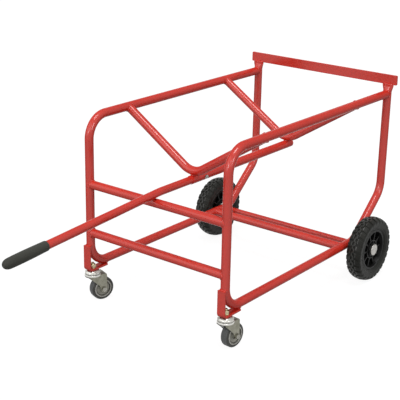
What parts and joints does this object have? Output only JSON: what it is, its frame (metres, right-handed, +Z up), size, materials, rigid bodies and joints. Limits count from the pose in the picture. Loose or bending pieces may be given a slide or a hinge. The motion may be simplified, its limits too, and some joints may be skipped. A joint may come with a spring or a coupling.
{
  "type": "mobile drum stillage",
  "caption": "Red welded-tube drum stillage on block-tread rear wheels and front swivel casters, with V cradles, a rear stop bar and a pull-out lever handle.",
  "frame": {"origin": "on the floor, under the middle of the overall box", "axes": "+X to the right side seen from the handle, +Y from the handle towards the rear wheels, +Z up"},
  "size_m": [0.6322, 1.3699, 0.6145],
  "materials": {
    "red_paint": "gloss red powder coat",
    "zinc": "bright zinc plate",
    "tyre_black": "matt black rubber",
    "rim_black": "black moulded plastic",
    "bush_grey": "grey nylon",
    "grip_black": "dark soft plastic",
    "caster_rubber": "dark grey rubber",
    "caster_plastic": "grey plastic"
  },
  "bodies": {
    "frame": {"side_frame_left": "red_paint", "side_frame_right": "red_paint", "drum_stop_bar": "red_paint", "front_cradle": "red_paint", "rear_cradle": "red_paint", "front_cross_tube_upper": "red_paint", "front_cross_tube_lower": "red_paint", "rear_cross_tube": "red_paint", "rear_axle": "red_paint", "handle_socket": "red_paint", "handle_lock_nut": "zinc", "axle_inner_washers": "zinc", "axle_outer_washers": "zinc", "axle_caps": "zinc", "caster_bracket_left": "red_paint", "caster_race_left": "zinc", "caster_stem_bolt_left": "zinc", "caster_stem_nut_left": "zinc", "caster_bracket_right": "red_paint", "caster_race_right": "zinc", "caster_stem_bolt_right": "zinc", "caster_stem_nut_right": "zinc"},
    "rear_wheel_left": {"rear_tyre_left": "tyre_black", "rear_rim_left": "rim_black", "rear_bushes_left": "bush_grey"},
    "rear_wheel_right": {"rear_tyre_right": "tyre_black", "rear_rim_right": "rim_black", "rear_bushes_right": "bush_grey"},
    "caster_fork_left": {"caster_fork_left": "zinc", "caster_balls_left": "zinc", "caster_axle_bolt_left": "zinc", "caster_axle_nut_left": "zinc", "caster_sleeve_left": "zinc"},
    "caster_wheel_left": {"caster_hub_left": "caster_plastic", "caster_tyre_left": "caster_rubber"},
    "caster_fork_right": {"caster_fork_right": "zinc", "caster_balls_right": "zinc", "caster_axle_bolt_right": "zinc", "caster_axle_nut_right": "zinc", "caster_sleeve_right": "zinc"},
    "caster_wheel_right": {"caster_hub_right": "caster_plastic", "caster_tyre_right": "caster_rubber"},
    "handle": {"handle_tube": "red_paint", "handle_grip": "grip_black"},
    "lock_screw": {"handle_lock_screw": "zinc"}
  },
  "joints": [
    {"name": "rear_wheel_left_spin", "type": "hinge", "parent": "frame", "child": "rear_wheel_left", "pos_m": [-0.2915, 0.53208, 0.1], "axis": [1, 0, 0], "continuous": true},
    {"name": "rear_wheel_right_spin", "type": "hinge", "parent": "frame", "child": "rear_wheel_right", "pos_m": [0.2915, 0.53208, 0.1], "axis": [1, 0, 0], "continuous": true},
    {"name": "caster_left_swivel", "type": "hinge", "parent": "frame", "child": "caster_fork_left", "pos_m": [-0.242, -0.1362, 0.085], "axis": [0, 0, 1], "continuous": true},
    {"name": "caster_left_spin", "type": "hinge", "parent": "caster_fork_left", "child": "caster_wheel_left", "pos_m": [-0.23288, -0.10973, 0.035], "axis": [0.9455, -0.3256, 0], "continuous": true},
    {"name": "caster_right_swivel", "type": "hinge", "parent": "frame", "child": "caster_fork_right", "pos_m": [0.242, -0.1362, 0.085], "axis": [0, 0, 1], "continuous": true},
    {"name": "caster_right_spin", "type": "hinge", "parent": "caster_fork_right", "child": "caster_wheel_right", "pos_m": [0.24444, -0.10831, 0.035], "axis": [0.9962, -0.0872, 0], "continuous": true},
    {"name": "handle_pull_out", "type": "slide", "parent": "frame", "child": "handle", "axis": [0, -1, 0], "range_m": [0, 0.36]},
    {"name": "lock_screw_back_off", "type": "slide", "parent": "frame", "child": "lock_screw", "axis": [1, 0, 0], "range_m": [0, 0.006]}
  ]
}
